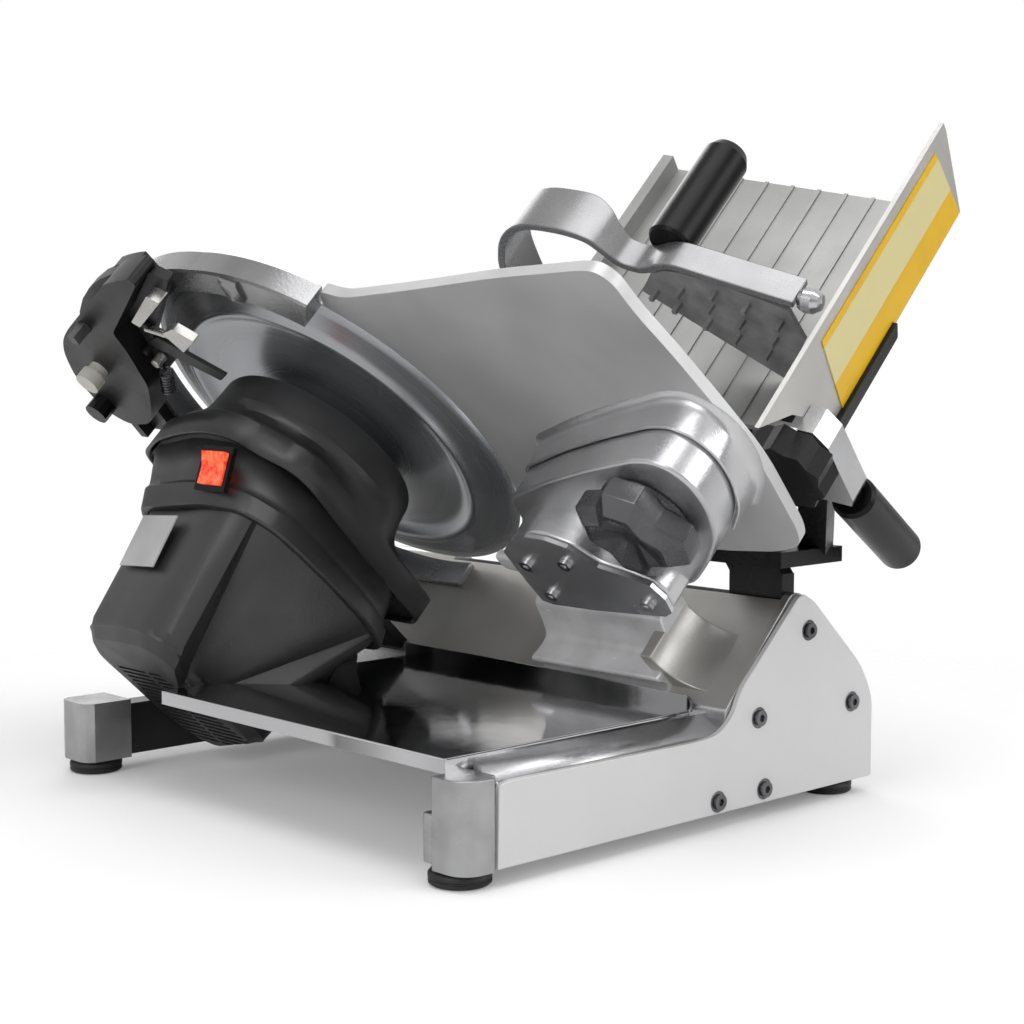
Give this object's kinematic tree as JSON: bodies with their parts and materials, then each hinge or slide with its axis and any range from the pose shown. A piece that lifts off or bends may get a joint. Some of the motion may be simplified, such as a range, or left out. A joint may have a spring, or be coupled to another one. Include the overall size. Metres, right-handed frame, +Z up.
{
  "type": "gravity feed food slicer",
  "caption": "Electric gravity-feed food slicer with a leaning round blade in a guard ring, gauge plate with thickness knob, ribbed food carriage with pusher, sharpener and receiving tray.",
  "frame": {"origin": "on the floor, under the middle of the bounding box", "axes": "+Z up, +X towards the carriage side where the food lies, -Y towards the operator's side with the front panel; the blade's plane faces +X and up"},
  "size_m": [0.4122, 0.5834, 0.4325],
  "materials": {
    "polished_casting": "polished",
    "satin_casting": "satin",
    "panel_white": "satin",
    "screw_steel": "polished",
    "tray_steel": "mirror",
    "rod_steel": "polished",
    "blade_steel": "mirror ground",
    "gauge_aluminium": "brushed",
    "plate_aluminium": "satin",
    "wall_grey": "satin",
    "label_cream": "satin",
    "housing_black": "matte",
    "black_gloss": "gloss",
    "arm_black": "satin",
    "tooth_grey": "satin",
    "button_pale": "matte",
    "stone_grey": "rough",
    "switch_red": "lit",
    "rating_pale": "satin",
    "rubber_black": "matte",
    "belt_rubber": "matte",
    "cast_iron": "machined",
    "knob_grey": "satin"
  },
  "bodies": {
    "frame": {"base_casting": "polished_casting", "front_panel": "panel_white", "panel_screws": "screw_steel", "corner_block": "polished_casting", "rear_beam": "polished_casting", "beam_cap": "housing_black", "bottom_cover": "rod_steel", "foot_front_left": "rubber_black", "foot_front_right": "rubber_black", "foot_rear_left": "rubber_black", "foot_rear_right": "rubber_black", "tray": "tray_steel", "carriage_rod": "rod_steel", "guide_bar": "rod_steel", "cable_gland": "housing_black", "guard_ring": "satin_casting", "blade_spindle": "rod_steel", "spindle_bearings": "rod_steel", "motor_body": "cast_iron", "drive_belt": "belt_rubber", "capacitor": "housing_black", "belt_cover": "housing_black", "switch_collar": "housing_black", "motor_cover": "housing_black", "switch_bezel": "black_gloss", "rating_plate": "rating_pale", "end_plate": "satin_casting", "end_plate_screws": "screw_steel"},
    "blade_wheel": {"blade": "blade_steel", "blade_screws": "screw_steel", "blade_pulley": "cast_iron"},
    "motor_shaft": {"motor_rotor": "rod_steel", "motor_fan": "housing_black", "motor_pulley": "cast_iron"},
    "gauge": {"gauge_plate": "gauge_aluminium", "gauge_rods": "rod_steel"},
    "knob": {"thickness_knob": "knob_grey", "knob_shaft": "rod_steel"},
    "carriage": {"carriage_slider": "cast_iron", "carriage_arm": "arm_black", "food_plate": "plate_aluminium", "end_wall": "wall_grey", "label_plate": "label_cream", "carriage_hub": "polished_casting", "push_handle": "black_gloss"},
    "clamp": {"clamp_knob": "knob_grey"},
    "pusher_pivot": {"pusher_rod": "rod_steel"},
    "pusher": {"pusher_arm": "polished_casting", "grip_plate": "tooth_grey", "pusher_grip": "black_gloss", "pusher_bumper": "rod_steel"},
    "switch_key": {"switch_rocker": "switch_red"},
    "sharpener": {"sharpener_bracket": "satin_casting", "sharpener_body": "housing_black"},
    "sharpener_knob": {"sharpener_lock": "button_pale"},
    "grind_press": {"grind_button": "button_pale"},
    "grind_wheel": {"grinding_stone": "stone_grey"},
    "deburr_press": {"deburr_button": "button_pale"},
    "deburr_wheel": {"deburring_stone": "stone_grey"}
  },
  "joints": [
    {"name": "blade_spin", "type": "hinge", "parent": "frame", "child": "blade_wheel", "pos_m": [-0.01421, 0.10274, 0.2422], "axis": [0.6896, 0, 0.7242], "continuous": true},
    {"name": "motor_spin", "type": "hinge", "parent": "frame", "child": "motor_shaft", "pos_m": [-0.05315, 0.14554, 0.11358], "axis": [0.6896, 0, 0.7242], "continuous": true},
    {"name": "gauge_slide", "type": "slide", "parent": "frame", "child": "gauge", "axis": [-0.6896, 0, -0.7242], "range_m": [0, 0.012]},
    {"name": "knob_turn", "type": "hinge", "parent": "frame", "child": "knob", "pos_m": [-0.05413, -0.22926, 0.19737], "axis": [-0.6896, 0, -0.7242], "range_deg": [0, 331]},
    {"name": "carriage_slide", "type": "slide", "parent": "frame", "child": "carriage", "axis": [0, 1, 0], "range_m": [0, 0.265]},
    {"name": "clamp_turn", "type": "hinge", "parent": "carriage", "child": "clamp", "pos_m": [0.03321, -0.26373, 0.22466], "axis": [-0.6896, 0, -0.7242], "range_deg": [0, 180]},
    {"name": "pusher_swing", "type": "hinge", "parent": "carriage", "child": "pusher_pivot", "pos_m": [0.09152, -0.07049, 0.29342], "axis": [-0.6896, 0, -0.7242], "range_deg": [0, 80]},
    {"name": "pusher_slide", "type": "slide", "parent": "pusher_pivot", "child": "pusher", "axis": [0.6896, 0, 0.7242], "range_m": [-0.06, 0.11]},
    {"name": "switch_tip", "type": "hinge", "parent": "frame", "child": "switch_key", "pos_m": [-0.13792, 0.07274, 0.21579], "axis": [0, 1, 0], "range_deg": [0, 12.4]},
    {"name": "sharpener_lift", "type": "slide", "parent": "frame", "child": "sharpener", "axis": [-0.6896, 0, -0.7242], "range_m": [0, 0.02]},
    {"name": "lock_turn", "type": "hinge", "parent": "sharpener", "child": "sharpener_knob", "pos_m": [-0.12193, 0.24074, 0.25088], "axis": [-0.6896, 0, -0.7242], "range_deg": [0, 180]},
    {"name": "grind_push", "type": "slide", "parent": "sharpener", "child": "grind_press", "axis": [0.6896, 0, 0.7242], "range_m": [0, 0.005], "stiffness_N_per_m": 400, "springref_m": -0.003},
    {"name": "grind_spin", "type": "hinge", "parent": "grind_press", "child": "grind_wheel", "pos_m": [-0.10731, 0.19474, 0.28944], "axis": [0.6896, 0, 0.7242], "continuous": true},
    {"name": "deburr_push", "type": "slide", "parent": "sharpener", "child": "deburr_press", "axis": [0.6896, 0, 0.7242], "range_m": [0, 0.005], "stiffness_N_per_m": 400, "springref_m": -0.003},
    {"name": "deburr_spin", "type": "hinge", "parent": "deburr_press", "child": "deburr_wheel", "pos_m": [-0.14602, 0.168, 0.32353], "axis": [-0.6651, 0.3955, 0.6334], "continuous": true}
  ],
  "couplings": [
    {"joint": "motor_spin", "follows": "blade_spin", "ratio": 3.5},
    {"joint": "knob_turn", "follows": "gauge_slide", "rad_per_m": 480}
  ]
}
